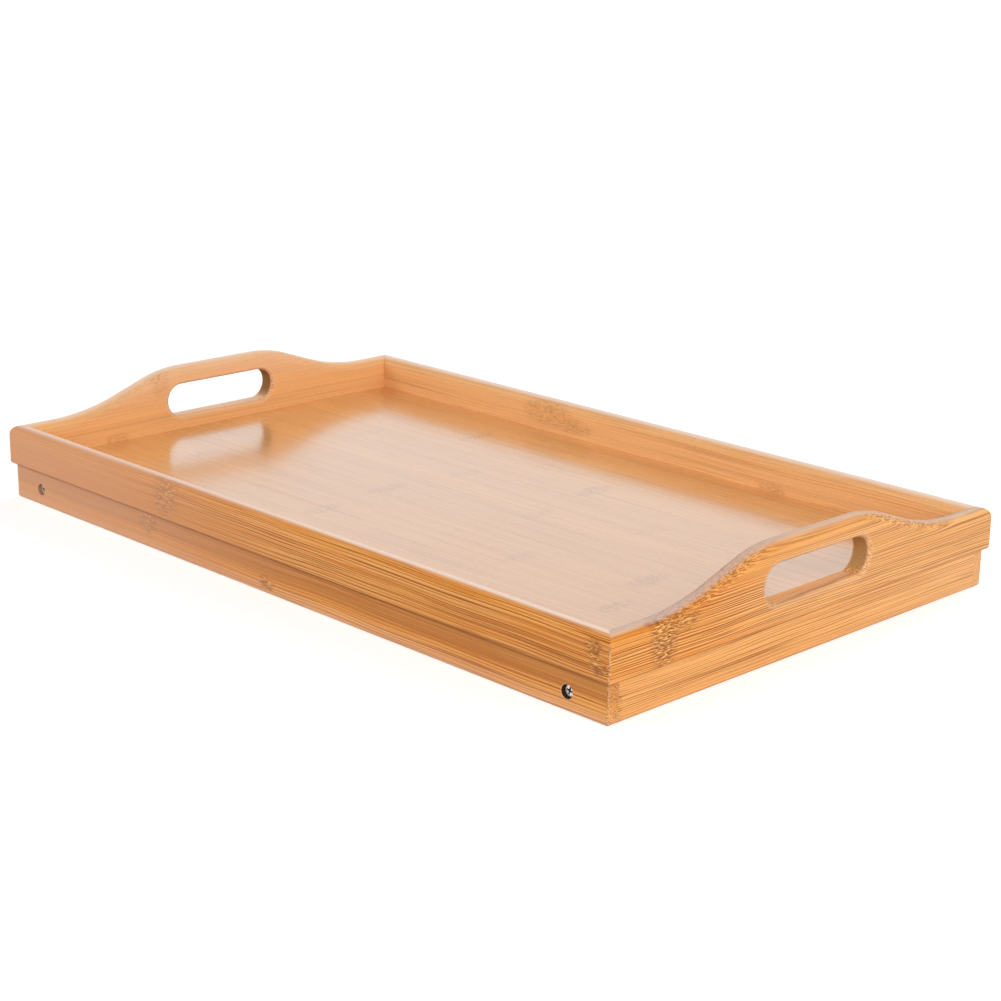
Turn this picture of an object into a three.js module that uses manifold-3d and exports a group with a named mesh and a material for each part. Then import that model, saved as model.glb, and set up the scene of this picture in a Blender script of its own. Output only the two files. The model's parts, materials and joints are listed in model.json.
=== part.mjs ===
// Bed tray of lacquered bamboo with two folding leg frames, shown with its legs folded away.
// Millimetres, +Z up, +X along the tray's length, the front long side towards -Y.
// The origin is the middle of the tray's footprint, at the lower edge of its apron.

import * as THREE from 'three';
import { mergeVertices } from 'three/addons/utils/BufferGeometryUtils.js';
import Module from 'manifold-3d';

const wasm = await Module();
wasm.setup();

// Whole tray
const trayLength = 500;
const trayWidth = 305;

// Upper frame: four mitred boards, their tops nearly half round
const boardThickness = 12;
const railHeight = 24;
const topArris = 5.9;
const boardArris = 2.5;

// Handle boards: S-shaped slopes, each a straight ramp between two arcs, and a rounded grip hole
const handleRise = 20;
const crestFlatLength = 58;
const crestRadius = 85;
const slopeFootRadius = 140;
const slopeDegrees = 19.5;
const gripLength = 83;
const gripHeight = 20.5;
const woodAboveGrip = 11.6;

// Apron: the lower frame, set in from the upper one, its long rails full length
const apronHeight = 21;
const apronInset = 2.8;
const apronThickness = 7;
const apronArris = 0.8;
const apronFootArris = 2;

// Tray panel, let into a rebate in the boards and resting on the apron
const panelThickness = 3.5;
const rebateDepth = 5;

// Leg frames
const pivotFromEnd = 29;
const pivotHeight = 10;
const gapBetweenFeet = 42;
const legWidth = 17;
const legThickness = 12;
const legArris = 1.2;
const legOpenDegrees = 100;
const legStopClearance = 0.3;
const footCornerRadius = 4;
const barWidth = 22;
const barThickness = 10;
const barFromFoot = 54;
const barArris = 1.2;

// Pivot screws: pan heads with a cross recess, sunk in counterbores
const screwShankRadius = 1.9;
const screwHeadRadius = 3.2;
const screwHeadHeight = 2.1;
const screwHeadCrown = 0.6;
const screwGrip = 10.5;
const screwTipLength = 3;
const counterboreRadius = 3.5;
const counterboreDepth = 4.1;
const recessSpan = 3.9;
const recessFloorSpan = 1.8;
const recessWidth = 1.05;
const recessDepth = 1.3;

// Pivot washers
const washerRadius = 6;
const washerThickness = 1;

// Countersunk screws that fix each cross bar between its posts
const barScrewShankRadius = 1.6;
const barScrewHeadRadius = 3.1;
const barScrewLength = 30;
const barScrewHeadSink = 0.3;

// Clearances
const glueLine = 0.05;
const runningClearance = 0.3;
const driveClearance = 0.12;
const cutOverrun = 20;

// Smoothness, in counts of steps
const boardCurveSteps = 8;
const postCurveSteps = 5;
const topArrisSteps = 6;
const boardArrisSteps = 4;
const footArrisSteps = 3;
const smallArrisSteps = 2;
const headCrownSteps = 3;
const roundSides = 24;

// Finishes
const frameBamboo = { color: 0xd9924f, roughness: 0.35 };
const apronBamboo = { color: 0xd28a48, roughness: 0.4 };
const panelBamboo = { color: 0xdda268, roughness: 0.25 };
const legBamboo = { color: 0xd8954f, roughness: 0.45 };
const zincSteel = { color: 0xb9bcc0, roughness: 0.3, metalness: 1 };
const whiteNylon = { color: 0xe7e5de, roughness: 0.5 };

// Places worked out from the sizes above
const boardBottom = apronHeight + glueLine;
const panelBottom = apronHeight + glueLine;
const crestHeight = railHeight + handleRise;
const gripCentre = crestHeight - woodAboveGrip - gripHeight / 2;
const rebateHeight = panelThickness + glueLine;
const apronLength = trayLength - 2 * apronInset;
const apronWidth = trayWidth - 2 * apronInset;
const pivotX = trayLength / 2 - pivotFromEnd;
const legLength = pivotX - gapBetweenFeet / 2;
const barFromPivot = legLength - barFromFoot;
const apronInnerY = apronWidth / 2 - apronThickness;
const legOuterY = apronInnerY - washerThickness - 2 * runningClearance;
const legInnerY = legOuterY - legThickness;
const legOpen = THREE.MathUtils.degToRad(legOpenDegrees);

// The square lower corner of a post's end meets the panel's underside when the legs stand open.
const stopHeight = panelBottom - pivotHeight - legStopClearance;
const legEnd = (stopHeight + (legWidth / 2) * Math.cos(legOpen)) / Math.sin(legOpen);

function toSolid(geometry) {
  geometry.deleteAttribute('normal');
  geometry.deleteAttribute('uv');
  const merged = mergeVertices(geometry);
  const vertProperties = new Float32Array(merged.attributes.position.array);
  const triVerts = new Uint32Array(merged.index.array);
  return new wasm.Manifold(new wasm.Mesh({ numProp: 3, vertProperties, triVerts }));
}

function toGeometry(body) {
  const { vertProperties, triVerts } = body.getMesh();
  const geometry = new THREE.BufferGeometry();
  geometry.setAttribute('position', new THREE.BufferAttribute(vertProperties, 3));
  geometry.setIndex(new THREE.BufferAttribute(triVerts, 1));
  geometry.computeVertexNormals();
  return geometry;
}

function cut(geometry, cutters) {
  return cutters.reduce((body, cutter) => body.subtract(toSolid(cutter)), toSolid(geometry));
}

// Closed outline through corners [x, y, radius], counter-clockwise, each rounded to its radius.
function roundedOutline(corners) {
  const outline = new THREE.Shape();
  corners.forEach(([x, y, radius], index) => {
    const corner = new THREE.Vector2(x, y);
    const [beforeX, beforeY] = corners.at(index - 1);
    const [afterX, afterY] = corners[(index + 1) % corners.length];
    const back = new THREE.Vector2(beforeX, beforeY).sub(corner).normalize();
    const ahead = new THREE.Vector2(afterX, afterY).sub(corner).normalize();
    const halfAngle = Math.acos(back.dot(ahead)) / 2;
    const start = corner.clone().addScaledVector(back, radius / Math.tan(halfAngle));
    if (index === 0) outline.moveTo(start.x, start.y);
    else outline.lineTo(start.x, start.y);
    if (radius > 0) {
      const inward = back.clone().add(ahead).normalize();
      const centre = corner.clone().addScaledVector(inward, radius / Math.sin(halfAngle));
      const startAngle = start.clone().sub(centre).angle();
      const turn = Math.PI - 2 * halfAngle;
      outline.absarc(centre.x, centre.y, radius, startAngle, startAngle + turn, false);
    }
  });
  outline.closePath();
  return outline;
}

function rectangle(length, top, bottom = 0) {
  return roundedOutline([
    [-length / 2, bottom, 0],
    [length / 2, bottom, 0],
    [length / 2, top, 0],
    [-length / 2, top, 0],
  ]);
}

// A board cut from an outline in length and height: its outer face on y = 0, its thickness along +y,
// with every edge of both faces rounded over.
function boardFromOutline(outline, thickness, arris, bevelSegments, curveSegments = 1) {
  const geometry = new THREE.ExtrudeGeometry(outline, {
    depth: thickness - 2 * arris,
    bevelThickness: arris,
    bevelSize: arris,
    bevelOffset: -arris,
    bevelSegments,
    curveSegments,
  });
  geometry.rotateX(Math.PI / 2);
  geometry.translate(0, thickness - arris, 0);
  return geometry;
}

// A straight bar of rectangular section between z = bottom and top, used as a cutter.
function straightCutter(lengthX, lowY, highY, bottom, top) {
  const geometry = new THREE.BoxGeometry(lengthX, highY - lowY, top - bottom);
  geometry.translate(0, (lowY + highY) / 2, (bottom + top) / 2);
  return geometry;
}

// A round body of revolution about the y axis, from profile points [radius, y].
function turned(profile) {
  return new THREE.LatheGeometry(
    profile.map(([radius, y]) => new THREE.Vector2(radius, y)),
    roundSides,
  );
}

// Upper frame

// The space between two mitre planes, for a board whose outer face has the given length.
function mitreSpace(outerLength) {
  const half = outerLength / 2 - glueLine * Math.SQRT1_2;
  const reach = boardThickness + cutOverrun;
  const space = new THREE.ExtrudeGeometry(
    roundedOutline([
      [-half - cutOverrun, -cutOverrun, 0],
      [half + cutOverrun, -cutOverrun, 0],
      [half - reach, reach, 0],
      [-half + reach, reach, 0],
    ]),
    { depth: crestHeight + 2 * cutOverrun, bevelEnabled: false },
  );
  space.translate(0, 0, -cutOverrun);
  return space;
}

// The rebate that takes the panel: inside face of the board, along its lower edge.
function rebateCutter(outerLength) {
  const insideFace = boardThickness - rebateDepth;
  const past = boardThickness + cutOverrun;
  return straightCutter(outerLength + 2 * cutOverrun, insideFace, past, -cutOverrun, rebateHeight);
}

// The outline gives the rounded top and runs on below the board. The lower edges and the holes,
// which have a smaller arris, come from a second blank that runs on past the board's top and ends.
function frameBoard(outline, outerLength, holes = []) {
  const topSteps = [topArrisSteps, boardCurveSteps];
  const topBlank = boardFromOutline(outline, boardThickness, topArris, ...topSteps);
  const lowerOutline = rectangle(outerLength + 2 * cutOverrun, crestHeight + cutOverrun);
  lowerOutline.holes.push(...holes);
  const lowerSteps = [boardArrisSteps, boardCurveSteps];
  const lowerBlank = boardFromOutline(lowerOutline, boardThickness, boardArris, ...lowerSteps);
  const rebated = cut(lowerBlank, [rebateCutter(outerLength)]).intersect(toSolid(topBlank));
  return toGeometry(rebated.intersect(toSolid(mitreSpace(outerLength))));
}

function railBoard() {
  const outline = rectangle(trayLength + 2 * cutOverrun, railHeight, -cutOverrun);
  return frameBoard(outline, trayLength);
}

function gripHole() {
  const radius = gripHeight / 2;
  const centre = gripLength / 2 - radius;
  const hole = new THREE.Path();
  hole.absarc(centre, gripCentre, radius, Math.PI / 2, -Math.PI / 2, true);
  hole.absarc(-centre, gripCentre, radius, -Math.PI / 2, -(3 * Math.PI) / 2, true);
  hole.closePath();
  return hole;
}

// The ramp between the two arcs of a slope climbs what the arcs leave of the handle's rise.
function handleOutline() {
  const half = trayWidth / 2 + cutOverrun;
  const slope = THREE.MathUtils.degToRad(slopeDegrees);
  const bothRadii = crestRadius + slopeFootRadius;
  const rampRise = handleRise - bothRadii * (1 - Math.cos(slope));
  const crestEnd = crestFlatLength / 2;
  const slopeEnd = crestEnd + bothRadii * Math.sin(slope) + rampRise / Math.tan(slope);
  const crestCentre = crestHeight - crestRadius;
  const footCentre = railHeight + slopeFootRadius;
  const up = Math.PI / 2;
  const outline = new THREE.Shape();
  outline.moveTo(-half, -cutOverrun);
  outline.lineTo(half, -cutOverrun);
  outline.lineTo(half, railHeight);
  outline.lineTo(slopeEnd, railHeight);
  outline.absarc(slopeEnd, footCentre, slopeFootRadius, -up, -up - slope, true);
  outline.absarc(crestEnd, crestCentre, crestRadius, up - slope, up, false);
  outline.lineTo(-crestEnd, crestHeight);
  outline.absarc(-crestEnd, crestCentre, crestRadius, up, up + slope, false);
  outline.absarc(-slopeEnd, footCentre, slopeFootRadius, -up + slope, -up, true);
  outline.lineTo(-half, railHeight);
  outline.closePath();
  return outline;
}

function handleBoard() {
  return frameBoard(handleOutline(), trayWidth, [gripHole()]);
}

// Tray panel

function trayPanel() {
  const reach = 2 * (rebateDepth - boardThickness - glueLine);
  const length = trayLength + reach;
  const width = trayWidth + reach;
  const sheet = roundedOutline([
    [-length / 2, -width / 2, 0],
    [length / 2, -width / 2, 0],
    [length / 2, width / 2, 0],
    [-length / 2, width / 2, 0],
  ]);
  const geometry = new THREE.ExtrudeGeometry(sheet, { depth: panelThickness, bevelEnabled: false });
  return toGeometry(toSolid(geometry));
}

// Apron

function pivotHole() {
  const through = screwShankRadius + runningClearance;
  return turned([
    [0, -cutOverrun],
    [counterboreRadius, -cutOverrun],
    [counterboreRadius, counterboreDepth],
    [through, counterboreDepth],
    [through, apronThickness + cutOverrun],
    [0, apronThickness + cutOverrun],
  ]);
}

// Endless apron rail in x. The edges that the tray stands on are rounder than the others.
function apronBlank(length) {
  const blankLength = length + 2 * cutOverrun;
  const upperOutline = rectangle(blankLength, apronHeight, -cutOverrun);
  const upper = boardFromOutline(upperOutline, apronThickness, apronArris, smallArrisSteps);
  const footOutline = rectangle(blankLength, apronHeight + cutOverrun);
  const foot = boardFromOutline(footOutline, apronThickness, apronFootArris, footArrisSteps);
  return toSolid(upper).intersect(toSolid(foot));
}

// The ends of a long rail show beside the short ones and carry their rounded edges on round the
// corner: the first prism rounds the ends as seen from the front, the second as seen from above.
function longApronRail() {
  const half = apronLength / 2;
  const past = apronThickness + cutOverrun;
  const frontView = new THREE.ExtrudeGeometry(
    roundedOutline([
      [-half, 0, apronFootArris],
      [half, 0, apronFootArris],
      [half, apronHeight, apronArris],
      [-half, apronHeight, apronArris],
    ]),
    { depth: past + cutOverrun, bevelEnabled: false, curveSegments: footArrisSteps },
  );
  frontView.rotateX(Math.PI / 2).translate(0, past, 0);
  const topView = new THREE.ExtrudeGeometry(
    roundedOutline([
      [-half, 0, apronArris],
      [half, 0, apronArris],
      [half, past, 0],
      [-half, past, 0],
    ]),
    { depth: apronHeight + 2 * cutOverrun, bevelEnabled: false, curveSegments: smallArrisSteps },
  );
  topView.translate(0, 0, -cutOverrun);
  const rail = [frontView, topView].reduce(
    (body, prism) => body.intersect(toSolid(prism)),
    apronBlank(apronLength),
  );
  const holes = [-pivotX, pivotX].map((x) => toSolid(pivotHole().translate(x, 0, pivotHeight)));
  return toGeometry(holes.reduce((body, hole) => body.subtract(hole), rail));
}

// A short rail is butted square between the long ones.
function shortApronRail() {
  const length = apronWidth - 2 * apronThickness - 2 * glueLine;
  const past = apronThickness + cutOverrun;
  const ends = straightCutter(length, -cutOverrun, past, -cutOverrun, apronHeight + cutOverrun);
  return toGeometry(apronBlank(length).intersect(toSolid(ends)));
}

// Leg frames, drawn folded: the pivot at the origin, the foot towards +x, the panel above.

function legOutline() {
  const half = legWidth / 2;
  const footSlant = (half * Math.cos(legOpen)) / Math.sin(legOpen);
  return roundedOutline([
    [-legEnd, -half, 0],
    [legLength - footSlant, -half, footCornerRadius],
    [legLength + footSlant, half, footCornerRadius],
    [-legEnd, half, half],
  ]);
}

function pivotPilotHole() {
  const radius = screwShankRadius + driveClearance;
  return turned([
    [0, -cutOverrun],
    [radius, -cutOverrun],
    [radius, screwGrip],
    [0, screwGrip + driveClearance],
  ]);
}

function countersunkProfile(extra, end) {
  const headDepth = barScrewHeadRadius - barScrewShankRadius;
  return [
    [barScrewHeadRadius + extra, barScrewHeadSink],
    [barScrewShankRadius + extra, barScrewHeadSink + headDepth],
    [barScrewShankRadius + extra, end],
    [0, end],
  ];
}

function countersunkHole() {
  const head = barScrewHeadRadius + driveClearance;
  return turned([
    [0, -cutOverrun],
    [head, -cutOverrun],
    ...countersunkProfile(driveClearance, legThickness + cutOverrun),
  ]);
}

// The outer face of a post lies on y = 0.
function legPost() {
  const steps = [smallArrisSteps, postCurveSteps];
  const post = boardFromOutline(legOutline(), legThickness, legArris, ...steps);
  const barHole = countersunkHole().translate(barFromPivot, 0, 0);
  return cut(post, [pivotPilotHole(), barHole]);
}

function crossBar() {
  const length = 2 * (legInnerY - glueLine);
  const outline = rectangle(barWidth, barThickness);
  const bar = new THREE.ExtrudeGeometry(outline, {
    depth: length - 2 * barArris,
    bevelThickness: barArris,
    bevelSize: barArris,
    bevelOffset: -barArris,
    bevelSegments: smallArrisSteps,
  });
  bar.translate(0, -barThickness / 2, barArris - length / 2);
  bar.rotateX(Math.PI / 2);
  const pilotDepth = barScrewLength - legThickness + driveClearance;
  const pilotRadius = barScrewShankRadius + driveClearance;
  const pilot = () => turned([
    [0, -cutOverrun],
    [pilotRadius, -cutOverrun],
    [pilotRadius, pilotDepth],
    [0, pilotDepth],
  ]);
  const frontPilot = pilot().translate(0, -length / 2, 0);
  const backPilot = pilot().rotateX(Math.PI).translate(0, length / 2, 0);
  return cut(bar, [frontPilot, backPilot]);
}

// Cutter for a cross recess in a head whose face is at y = face. Its two crossed blades taper
// towards the floor, and the same taper carries on past the face.
function crossRecess(face) {
  const floor = recessFloorSpan * Math.SQRT1_2;
  const mouth = (2 * recessSpan - recessFloorSpan) * Math.SQRT1_2;
  const blade = (turn) => {
    const geometry = new THREE.CylinderGeometry(floor, mouth, 2 * recessDepth, 4, 1);
    geometry.rotateY(Math.PI / 4);
    geometry.scale(1, 1, recessWidth / recessSpan);
    geometry.rotateY(turn);
    return toSolid(geometry);
  };
  return blade(0).add(blade(Math.PI / 2)).translate(0, face, 0);
}

// Head towards -y, its underside on y = 0, the shank along +y.
function pivotScrew() {
  const shankLength = apronThickness - counterboreDepth + apronInnerY - legOuterY + screwGrip
    - driveClearance;
  const crown = Array.from({ length: headCrownSteps + 1 }, (_, step) => {
    const angle = (step / headCrownSteps) * (Math.PI / 2);
    const radius = screwHeadRadius - screwHeadCrown * (1 - Math.sin(angle));
    return [radius, -screwHeadHeight + screwHeadCrown * (1 - Math.cos(angle))];
  });
  const profile = [
    [0, -screwHeadHeight],
    ...crown,
    [screwHeadRadius, 0],
    [screwShankRadius, 0],
    [screwShankRadius, shankLength - screwTipLength],
    [0, shankLength],
  ];
  return toSolid(turned(profile)).subtract(crossRecess(-screwHeadHeight));
}

function barScrew() {
  const end = barScrewLength - screwTipLength;
  const shank = countersunkProfile(0, end).slice(0, -1);
  const screw = toSolid(turned([[0, barScrewHeadSink], ...shank, [0, barScrewLength]]));
  return screw.subtract(crossRecess(barScrewHeadSink));
}

function washer() {
  const bore = screwShankRadius + driveClearance;
  return toSolid(turned([
    [bore, 0],
    [washerRadius, 0],
    [washerRadius, washerThickness],
    [bore, washerThickness],
    [bore, 0],
  ]));
}

// Assembly

function named(name, geometry, finish) {
  const mesh = new THREE.Mesh(geometry, new THREE.MeshStandardMaterial(finish));
  mesh.name = name;
  return mesh;
}

// Puts a piece whose outer face is on y = 0 onto one side of the tray, turned to face outwards.
function onSide(mesh, turn, distance, height) {
  const side = new THREE.Group();
  side.rotation.z = turn;
  mesh.position.set(0, -distance, height);
  side.add(mesh);
  return side;
}

const quarter = Math.PI / 2;
const sides = [
  { name: 'front', turn: 0, long: true },
  { name: 'right', turn: quarter, long: false },
  { name: 'back', turn: 2 * quarter, long: true },
  { name: 'left', turn: -quarter, long: false },
];

function upperFrame() {
  const frame = new THREE.Group();
  for (const { name, turn, long } of sides) {
    const label = long ? `${name}_rail` : `${name}_handle_board`;
    const geometry = long ? railBoard() : handleBoard();
    const distance = (long ? trayWidth : trayLength) / 2;
    frame.add(onSide(named(label, geometry, frameBamboo), turn, distance, boardBottom));
  }
  return frame;
}

function apron() {
  const frame = new THREE.Group();
  for (const { name, turn, long } of sides) {
    const geometry = long ? longApronRail() : shortApronRail();
    const distance = (long ? apronWidth : apronLength) / 2;
    const rail = named(`${name}_apron_rail`, geometry, apronBamboo);
    frame.add(onSide(rail, turn, distance, 0));
  }
  return frame;
}

// One leg frame, folded, with its foot towards +x. Front pieces are turned over for the back.
function legFrame(name) {
  const frame = new THREE.Group();
  const sidesOfFrame = [['front', 1], ['back', -1]];
  for (const [side, facing] of sidesOfFrame) {
    const flip = (body) => toGeometry(facing > 0 ? body : body.mirror([0, 1, 0]));
    const place = (mesh, x, outward) => {
      mesh.position.set(x, -facing * outward, 0);
      frame.add(mesh);
    };
    const headSeat = apronWidth / 2 - counterboreDepth;
    const label = `${side}_${name}`;
    place(named(`${label}_leg_post`, flip(legPost()), legBamboo), 0, legOuterY);
    place(named(`${label}_pivot_screw`, flip(pivotScrew()), zincSteel), 0, headSeat);
    const washerSeat = legOuterY + runningClearance + washerThickness;
    place(named(`${label}_pivot_washer`, flip(washer()), whiteNylon), 0, washerSeat);
    place(named(`${label}_bar_screw`, flip(barScrew()), zincSteel), barFromPivot, legOuterY);
  }
  const bar = named(`${name}_cross_bar`, toGeometry(crossBar()), legBamboo);
  bar.position.x = barFromPivot;
  frame.add(bar);
  return frame;
}

function legFrames() {
  const pair = new THREE.Group();
  const left = legFrame('left');
  left.position.set(-pivotX, 0, pivotHeight);
  const right = legFrame('right');
  right.position.set(pivotX, 0, pivotHeight);
  right.scale.x = -1;
  pair.add(left, right);
  return pair;
}

const tray = new THREE.Group();
const panel = named('tray_panel', trayPanel(), panelBamboo);
panel.position.z = panelBottom;
tray.add(upperFrame(), apron(), panel, legFrames());

export default tray;
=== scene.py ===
"""Looks of a lacquered bamboo bed tray with two folding leg frames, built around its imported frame."""

import json
import math
import random

import bmesh
import bpy
from bpy.props import BoolProperty, FloatProperty, FloatVectorProperty, IntProperty, PointerProperty
from mathutils import Matrix, Quaternion, Vector
from mathutils.geometry import tessellate_polygon


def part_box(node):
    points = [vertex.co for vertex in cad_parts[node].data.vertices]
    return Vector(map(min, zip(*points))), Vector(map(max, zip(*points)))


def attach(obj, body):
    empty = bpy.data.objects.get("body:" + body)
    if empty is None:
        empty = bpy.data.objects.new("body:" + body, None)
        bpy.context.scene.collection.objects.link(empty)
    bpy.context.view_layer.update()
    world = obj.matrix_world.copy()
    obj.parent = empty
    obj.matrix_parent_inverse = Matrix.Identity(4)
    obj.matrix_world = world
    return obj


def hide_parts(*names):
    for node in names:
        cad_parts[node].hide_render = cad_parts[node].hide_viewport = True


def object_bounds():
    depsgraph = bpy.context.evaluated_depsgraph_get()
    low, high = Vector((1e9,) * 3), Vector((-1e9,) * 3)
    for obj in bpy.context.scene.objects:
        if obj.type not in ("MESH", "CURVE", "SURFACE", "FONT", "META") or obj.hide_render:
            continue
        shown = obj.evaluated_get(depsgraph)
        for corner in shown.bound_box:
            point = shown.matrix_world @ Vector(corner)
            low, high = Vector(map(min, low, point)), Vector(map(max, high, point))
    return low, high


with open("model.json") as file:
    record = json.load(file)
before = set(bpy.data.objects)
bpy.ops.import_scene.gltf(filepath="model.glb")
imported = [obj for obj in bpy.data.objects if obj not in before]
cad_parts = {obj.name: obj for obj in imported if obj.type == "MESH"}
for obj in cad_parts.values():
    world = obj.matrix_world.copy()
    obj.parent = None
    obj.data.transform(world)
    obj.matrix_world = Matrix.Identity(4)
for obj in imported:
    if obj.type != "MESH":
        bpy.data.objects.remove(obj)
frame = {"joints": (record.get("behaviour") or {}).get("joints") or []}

bl_info = {
    "name": "Bed Tray",
    "version": (1, 0, 0),
    "blender": (4, 5, 0),
    "location": "3D View > Sidebar > Bed Tray",
    "description": "Builds a lacquered bamboo bed tray with folding leg frames around its packed frame",
    "category": "Add Mesh",
}

MM = 0.001
QUARTER = math.pi / 2

# Points that are nearer than this are one, and edges that turn further than this are sharp
WELD = 1e-6
SHARP_EDGE = math.radians(35)

# Faces round a turned part and a bored hole, across a small rounded edge and round a corner
ROUND_SIDES = 48
HOLE_SIDES = 40
EDGE_STEPS = 4
CORNER_STEPS = 6

CAD_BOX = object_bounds()


def low(node):
    """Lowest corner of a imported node."""
    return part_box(node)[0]


def high(node):
    """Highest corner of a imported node."""
    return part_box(node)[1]


def extent(node):
    """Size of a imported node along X, Y and Z."""
    return high(node) - low(node)


# Places taken from the frame
BOARD_BOTTOM = low("front_rail").z
BOARD_THICKNESS = extent("front_rail").y
RAIL_HEIGHT = extent("front_rail").z
HANDLE_HEIGHT = extent("right_handle_board").z
PANEL_BOTTOM = low("tray_panel").z
REBATE_DEPTH = high("tray_panel").x - low("right_handle_board").x
REBATE_HEIGHT = high("tray_panel").z - BOARD_BOTTOM
APRON_HEIGHT = extent("front_apron_rail").z
APRON_THICKNESS = extent("front_apron_rail").y
LEG_JOINT = next(j for j in frame["joints"] if j["child"] == "right_leg_frame")
PIVOT = Vector(LEG_JOINT["pos_m"])
LEG_OPEN = math.radians(max(LEG_JOINT["range_deg"]))
LEG_WIDTH = extent("front_right_leg_post").z
LEG_THICKNESS = extent("front_right_leg_post").y
LEG_OUTER_Y = high("back_right_leg_post").y
BAR_WIDTH = extent("right_cross_bar").x
BAR_THICKNESS = extent("right_cross_bar").z
BAR_SCREW_LENGTH = extent("front_right_bar_screw").y
BAR_SCREW_SINK = LEG_OUTER_Y - high("back_right_bar_screw").y
PIVOT_SCREW_LENGTH = extent("front_right_pivot_screw").y
WASHER_THICKNESS = extent("front_right_pivot_washer").y

SIDES = ("front", "right", "back", "left")


def linear(code):
    """A colour written as six hexadecimal digits, as the linear values that shaders take."""
    shares = [int(code[i : i + 2], 16) / 255 for i in (0, 2, 4)]
    return tuple(c / 12.92 if c <= 0.04045 else ((c + 0.055) / 1.055) ** 2.4 for c in shares)


def length(description, millimetres):
    """A length property, its default given in millimetres."""
    metres = millimetres * MM
    return FloatProperty(description=description, default=metres, min=0, unit="LENGTH", precision=5)


def location(description, place):
    """A property for a place in metres."""
    return FloatVectorProperty(description=description, default=place, unit="LENGTH")


def angle(description, degrees):
    """An angle property, its default given in degrees."""
    return FloatProperty(description=description, default=math.radians(degrees), subtype="ANGLE")


def face_count(description, default, least=1):
    """A property for the number of faces across a curve."""
    return IntProperty(description=description, default=default, min=least)


def wattage(description, watts):
    """A property for the power of a lamp."""
    return FloatProperty(description=description, default=watts)


def share(description, part):
    """A property from nothing to the whole."""
    return FloatProperty(description=description, default=part, min=0, max=1, subtype="FACTOR")


def colour(description, code):
    """A colour property, its default given as six hexadecimal digits."""
    return FloatVectorProperty(
        description=description, default=linear(code), min=0, max=1, subtype="COLOR"
    )


class BoardSizes(bpy.types.PropertyGroup):
    """Sizes of the four mitred boards of the upper frame"""

    crown: length("Radius of the rounded top", 5.9)
    crown_steps: face_count("Faces across each half of the rounded top", 12)
    arris: length("Radius of the lower edge and of a grip hole's rim", 2.5)
    arris_steps: face_count("Faces across a rounded edge", 8)
    corner: length("Radius of the tray's upright corners", 0.9)
    crest_flat: length("Straight part of a handle's crest", 58)
    crest_radius: length("Radius from the crest into the slope", 85)
    foot_radius: length("Radius at the foot of the slope", 140)
    slope: angle("Steepness of the slope", 19.5)
    curve_steps: face_count("Faces along each curve of a slope", 20, least=2)
    grip_length: length("Length of a grip hole", 83)
    grip_height: length("Height of a grip hole", 20.5)
    wood_above_grip: length("Wood between a grip hole and the crest", 11.6)


class ApronSizes(bpy.types.PropertyGroup):
    """Sizes of the lower frame"""

    arris: length("Radius of the rounded edges", 0.8)
    foot_arris: length("Radius of the edges that the tray stands on", 2)
    counterbore_radius: length("Radius of the sink for a screw head", 3.5)
    counterbore_depth: length("Depth of the sink for a screw head", 4.1)
    counterbore_rim: length("Width of the broken rim of the sink", 0.25)
    hole_radius: length("Radius of the hole for a screw's shank", 2.2)


class LegSizes(bpy.types.PropertyGroup):
    """Sizes of the folding leg frames"""

    arris: length("Radius of the rounded edges", 1.2)
    foot_corner: length("Radius of the foot's corners", 4)
    foot_gap: length("Gap between the feet of the two folded frames", 42)
    stop_clearance: length("Space between an open leg's end and the panel", 0.3)
    drive_clearance: length("Space round a screw in its hole", 0.12)
    pilot_depth: length("Depth of the pilot hole for the pivot screw", 10.5)


class ScrewSizes(bpy.types.PropertyGroup):
    """Sizes of the pivot screws, the cross bars' screws and the washers"""

    head_radius: length("Radius of the pan head", 3.2)
    head_height: length("Height of the pan head", 2.1)
    head_crown: length("Rounding of the pan head", 0.6)
    shank_radius: length("Radius over the thread", 1.9)
    thread_depth: length("Depth of the thread", 0.4)
    thread_pitch: length("Advance of the thread in one turn", 1.4)
    tip_length: length("Length of the pointed tip", 3)
    recess_span: length("Width of the cross recess at the face", 3.9)
    recess_floor: length("Width of the cross recess at its floor", 1.8)
    recess_width: length("Width of each arm of the recess", 1.05)
    recess_depth: length("Depth of the recess", 1.3)
    bar_shank_radius: length("Radius over the bar screw's thread", 1.6)
    bar_head_radius: length("Radius of the countersunk head", 3.1)
    washer_radius: length("Outer radius of a washer", 6)
    washer_arris: length("Rounding of a washer's edges", 0.25)


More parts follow.
